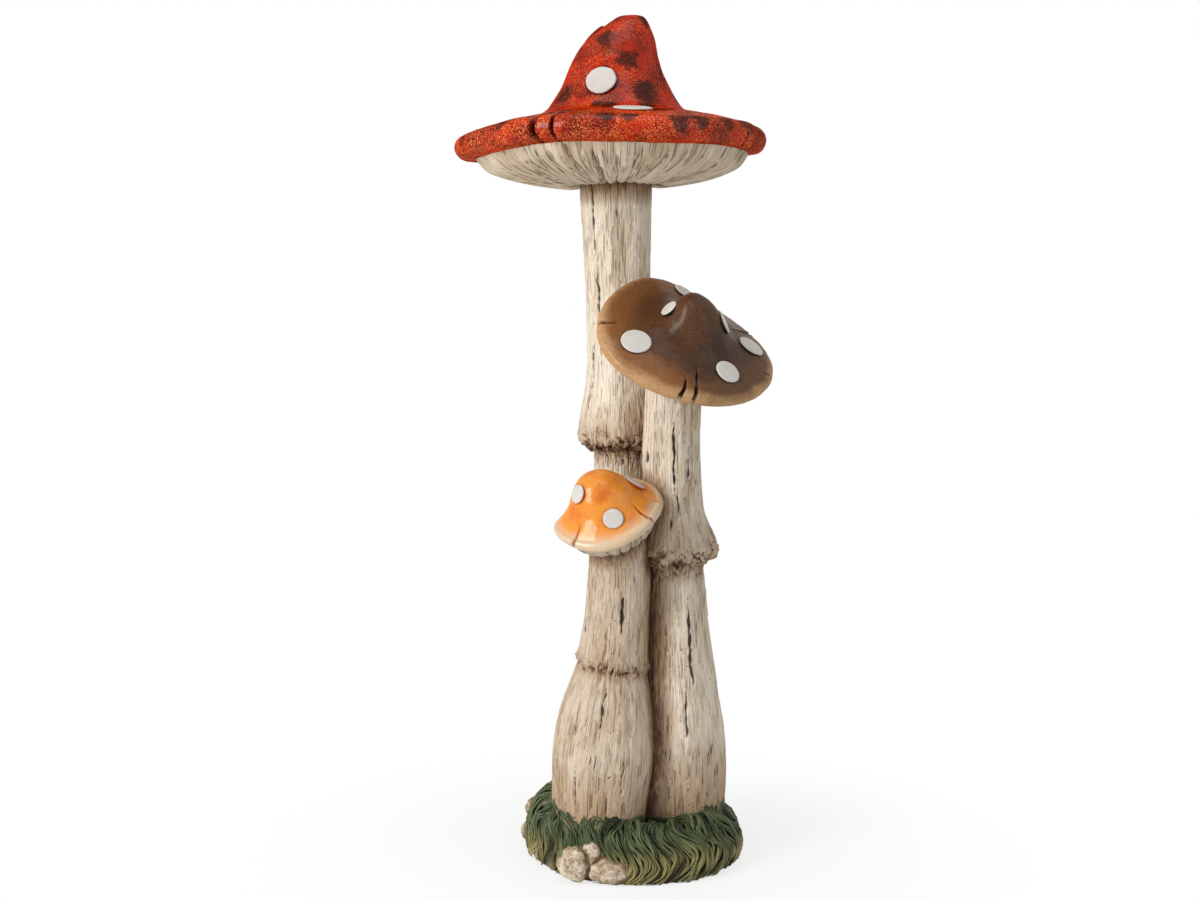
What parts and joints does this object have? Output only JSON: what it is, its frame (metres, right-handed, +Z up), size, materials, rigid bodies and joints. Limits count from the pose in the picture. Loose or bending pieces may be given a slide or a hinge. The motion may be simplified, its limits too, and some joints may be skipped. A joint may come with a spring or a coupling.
{
  "type": "mushroom garden statue",
  "caption": "Garden ornament: a tall, a middle and a short toadstool with dotted, leaning caps, standing together in a grassy mound.",
  "frame": {"origin": "the middle of the mound's flat underside, on the ground", "axes": "+Z up the stems, +X to the viewer's right, -Y towards the viewer"},
  "size_m": [0.2991, 0.299, 0.8043],
  "materials": {
    "grass": "matte",
    "pebble": "matte",
    "stem": "matte",
    "gill": "matte",
    "red": "gloss",
    "brown": "satin",
    "orange": "gloss",
    "white": "satin",
    "steel": "satin"
  },
  "bodies": {
    "root": {"grass_mound": "grass", "pebble_front_left": "pebble", "pebble_front_right": "pebble", "pebble_front_middle": "pebble", "pebble_side_low": "pebble", "pebble_side_high": "pebble", "short_stem": "stem", "middle_stem": "stem", "tall_stem": "stem", "red_cap": "red", "red_gills": "gill", "red_dowel": "steel", "red_dot_front": "white", "red_dot_brim_front": "white", "red_dot_upper_left": "white", "red_dot_right": "white", "red_dot_brim_left": "white", "red_dot_back": "white", "red_dot_brim_back": "white", "brown_cap": "brown", "brown_gills": "gill", "brown_dowel": "steel", "brown_dot_left": "white", "brown_dot_front": "white", "brown_dot_right": "white", "brown_dot_upper_left": "white", "brown_dot_back": "white", "brown_dot_crown_right": "white", "orange_cap": "orange", "orange_gills": "gill", "orange_dowel": "steel", "orange_dot_front": "white", "orange_dot_left": "white", "orange_dot_right": "white", "orange_dot_back": "white"}
  },
  "joints": []
}
